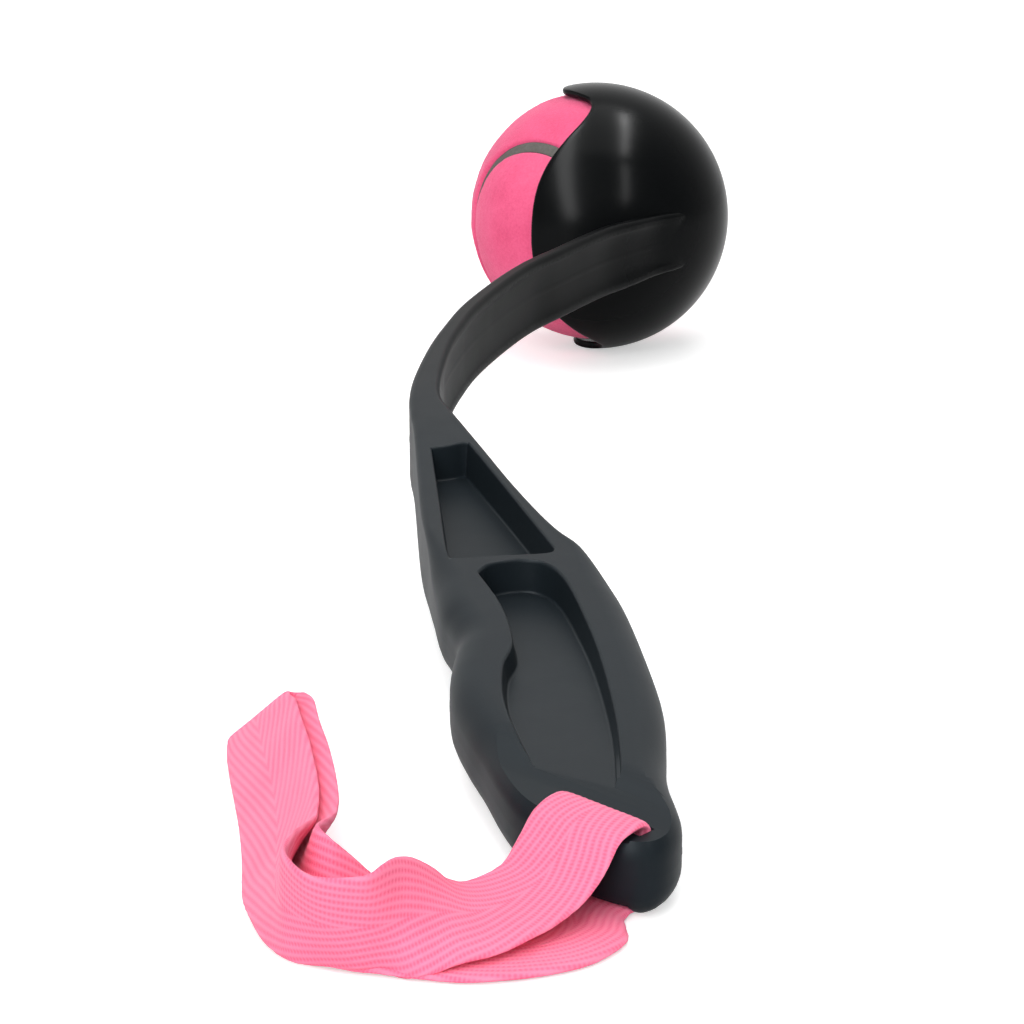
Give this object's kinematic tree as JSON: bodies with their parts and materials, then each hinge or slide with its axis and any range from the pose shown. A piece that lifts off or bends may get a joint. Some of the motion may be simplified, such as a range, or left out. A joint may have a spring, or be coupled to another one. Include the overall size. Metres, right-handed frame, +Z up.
{
  "type": "dog ball thrower",
  "caption": "Hand-held dog ball thrower: a round cup holding a felt ball, a thin curved springy arm, a pocketed finger-grip handle and a webbing wrist loop.",
  "frame": {"origin": "on the floor, under the middle of the launcher and its ball as they lie on their side", "axes": "+Y runs from the handle's butt to the cup, +X towards the palm side of the grip, +Z up from the floor"},
  "size_m": [0.1017, 0.4388, 0.0683],
  "materials": {
    "moulded_black": "satin black moulded plastic, glossier on the cup",
    "ball_rubber": "plain moulded rubber, hidden under the felt",
    "pink_felt": "short-napped pink felt",
    "seam_glue": "matte dark grey seam",
    "pink_webbing": "pink herringbone twill cotton tape"
  },
  "bodies": {
    "launcher": {"launcher": "moulded_black", "wrist_strap": "pink_webbing"},
    "ball": {"core_half_lower": "ball_rubber", "core_half_upper": "ball_rubber", "felt_panel_a": "pink_felt", "felt_panel_b": "pink_felt", "ball_seam": "seam_glue"}
  },
  "joints": [
    {"name": "ball_release", "type": "slide", "parent": "launcher", "child": "ball", "axis": [-0.8387, 0.5433, 0.0386], "range_m": [0, 0.075]}
  ]
}
